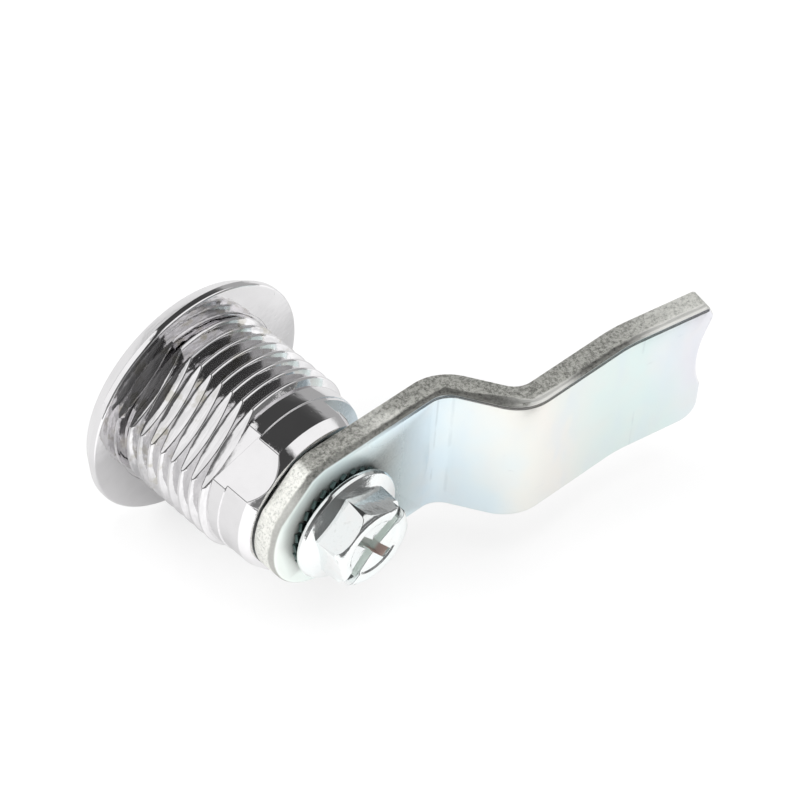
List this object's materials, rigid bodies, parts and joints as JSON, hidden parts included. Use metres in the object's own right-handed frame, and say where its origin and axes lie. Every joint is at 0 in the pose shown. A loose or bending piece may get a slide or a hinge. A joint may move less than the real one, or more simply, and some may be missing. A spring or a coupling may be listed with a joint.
{
  "type": "cam lock",
  "caption": "Chromed cam lock with a threaded double-D barrel, wide flange, wafer plug, stop lug, and a cranked cam under a flanged hex screw.",
  "frame": {"origin": "on the barrel's axis, in the plane of the flange's back face, which seats on the door", "axes": "+Y along the barrel from the key face towards the cam; the cam points towards -X at rest; +Z is where the cam points after the quarter turn"},
  "size_m": [0.0523, 0.0293, 0.0246],
  "materials": {
    "housing_chrome": "bright chrome on zinc die casting",
    "plug_nickel": "satin nickel on zinc die casting",
    "wafer_brass": "stamped brass",
    "spring_steel": "drawn wire",
    "zinc_plated_steel": "zinc plated",
    "blue_zinc_steel": "blue passivated zinc, semi gloss",
    "dark_zinc_steel": "hardened steel, dull zinc",
    "bright_zinc_steel": "bright zinc"
  },
  "bodies": {
    "housing": {"barrel_housing": "housing_chrome"},
    "turning_plug": {"plug": "plug_nickel", "stop_washer": "zinc_plated_steel", "cam": "blue_zinc_steel", "toothed_washer": "dark_zinc_steel", "cam_screw": "bright_zinc_steel", "wafer_spring_1": "spring_steel", "wafer_spring_2": "spring_steel", "wafer_spring_3": "spring_steel", "wafer_spring_4": "spring_steel", "wafer_spring_5": "spring_steel", "wafer_spring_6": "spring_steel", "retaining_spring": "spring_steel"},
    "code_wafer_1": {"wafer_1": "wafer_brass"},
    "code_wafer_2": {"wafer_2": "wafer_brass"},
    "code_wafer_3": {"wafer_3": "wafer_brass"},
    "code_wafer_4": {"wafer_4": "wafer_brass"},
    "code_wafer_5": {"wafer_5": "wafer_brass"},
    "code_wafer_6": {"wafer_6": "wafer_brass"},
    "rear_wafer": {"retaining_wafer": "wafer_brass"}
  },
  "joints": [
    {"name": "plug_turn", "type": "hinge", "parent": "housing", "child": "turning_plug", "pos_m": [0, 0, 0], "axis": [0, 1, 0], "range_deg": [0, 90]},
    {"name": "wafer_1_slide", "type": "slide", "parent": "turning_plug", "child": "code_wafer_1", "axis": [0, 0, 1], "range_m": [0, 0.0007], "stiffness_N_per_m": 120, "springref_m": 0.0025, "deforming": ["wafer_spring_1"]},
    {"name": "wafer_2_slide", "type": "slide", "parent": "turning_plug", "child": "code_wafer_2", "axis": [0, 0, 1], "range_m": [0, 0.0007], "stiffness_N_per_m": 120, "springref_m": 0.0025, "deforming": ["wafer_spring_2"]},
    {"name": "wafer_3_slide", "type": "slide", "parent": "turning_plug", "child": "code_wafer_3", "axis": [0, 0, 1], "range_m": [0, 0.0007], "stiffness_N_per_m": 120, "springref_m": 0.0025, "deforming": ["wafer_spring_3"]},
    {"name": "wafer_4_slide", "type": "slide", "parent": "turning_plug", "child": "code_wafer_4", "axis": [0, 0, 1], "range_m": [0, 0.0007], "stiffness_N_per_m": 120, "springref_m": 0.0025, "deforming": ["wafer_spring_4"]},
    {"name": "wafer_5_slide", "type": "slide", "parent": "turning_plug", "child": "code_wafer_5", "axis": [0, 0, 1], "range_m": [0, 0.0007], "stiffness_N_per_m": 120, "springref_m": 0.0025, "deforming": ["wafer_spring_5"]},
    {"name": "wafer_6_slide", "type": "slide", "parent": "turning_plug", "child": "code_wafer_6", "axis": [0, 0, 1], "range_m": [0, 0.0007], "stiffness_N_per_m": 120, "springref_m": 0.0025, "deforming": ["wafer_spring_6"]},
    {"name": "rear_wafer_slide", "type": "slide", "parent": "turning_plug", "child": "rear_wafer", "axis": [0, 0, 1], "range_m": [0, 0.0011], "stiffness_N_per_m": 120, "springref_m": -0.0015, "deforming": ["retaining_spring"]}
  ]
}
